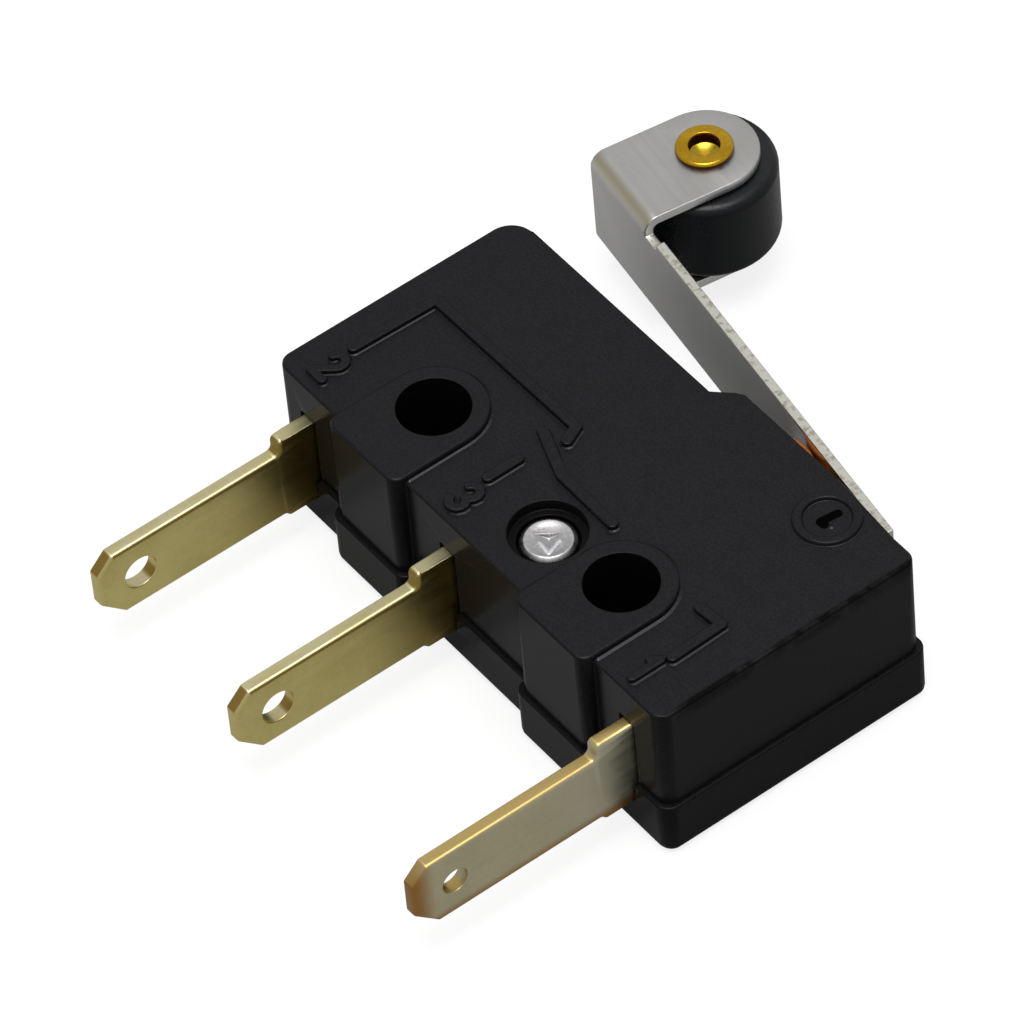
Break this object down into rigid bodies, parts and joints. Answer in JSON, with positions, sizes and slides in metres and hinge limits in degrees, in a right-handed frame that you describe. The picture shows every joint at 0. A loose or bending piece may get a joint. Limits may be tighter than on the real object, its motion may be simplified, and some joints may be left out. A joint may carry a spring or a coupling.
{
  "type": "micro switch",
  "caption": "Subminiature snap-action switch with a hinged roller lever, plunger, through mounting holes and flat solder tabs.",
  "frame": {"origin": "midway between the mounting holes on the back face of the cover", "axes": "+X along the case towards the lever hinge, +Y from the terminals towards the lever, +Z from the back face to the front face"},
  "size_m": [0.0211, 0.0271, 0.0064],
  "materials": {
    "case_black": "fine satin moulding",
    "cover_black": "fine satin moulding",
    "rivet_aluminium": "satin",
    "terminal_brass": "satin stamped",
    "anchor_brass": "satin",
    "contact_silver": "polished",
    "spring_copper": "satin spring strip",
    "plunger_amber": "smooth amber moulding",
    "pin_steel": "ground",
    "lever_steel": "rolled satin sheet with sheared edges",
    "pin_brass": "bright turned",
    "roller_black": "satin moulding"
  },
  "bodies": {
    "housing": {"case": "case_black", "cover": "cover_black", "closing_rivet": "rivet_aluminium", "terminal_common": "terminal_brass", "terminal_closed": "terminal_brass", "terminal_open": "terminal_brass", "blade_anchor": "anchor_brass", "anchor_rivet": "anchor_brass", "contact_closed": "contact_silver", "contact_open": "contact_silver", "snap_spring": "spring_copper", "hinge_pin": "pin_steel"},
    "lever_arm": {"lever": "lever_steel", "roller_pin": "pin_brass"},
    "roller_wheel": {"roller": "roller_black"},
    "plunger_pin": {"plunger": "plunger_amber"},
    "blade": {"moving_blade": "spring_copper", "moving_contact": "contact_silver"}
  },
  "joints": [
    {"name": "lever_hinge", "type": "hinge", "parent": "housing", "child": "lever_arm", "pos_m": [0.0075, 0.0071, 0.0032], "axis": [0, 0, 1], "range_deg": [0, 10], "stiffness_Nm_per_rad": 0.01, "springref_deg": -11.46},
    {"name": "roller_spin", "type": "hinge", "parent": "lever_arm", "child": "roller_wheel", "pos_m": [-0.00883, 0.01383, 0.0032], "axis": [0, 0, 1], "continuous": true},
    {"name": "plunger_slide", "type": "slide", "parent": "housing", "child": "plunger_pin", "axis": [0, -1, 0], "range_m": [0, 0.00086], "deforming": ["snap_spring"]},
    {"name": "blade_pivot", "type": "hinge", "parent": "housing", "child": "blade", "pos_m": [0.008, 0.00372, 0.0032], "axis": [0, 0, 1], "range_deg": [0, 2.1]}
  ],
  "couplings": [
    {"joint": "plunger_slide", "follows": "lever_hinge", "m_per_rad": 0.0048972},
    {"joint": "blade_pivot", "follows": "lever_hinge", "ratio": 0.20214}
  ]
}
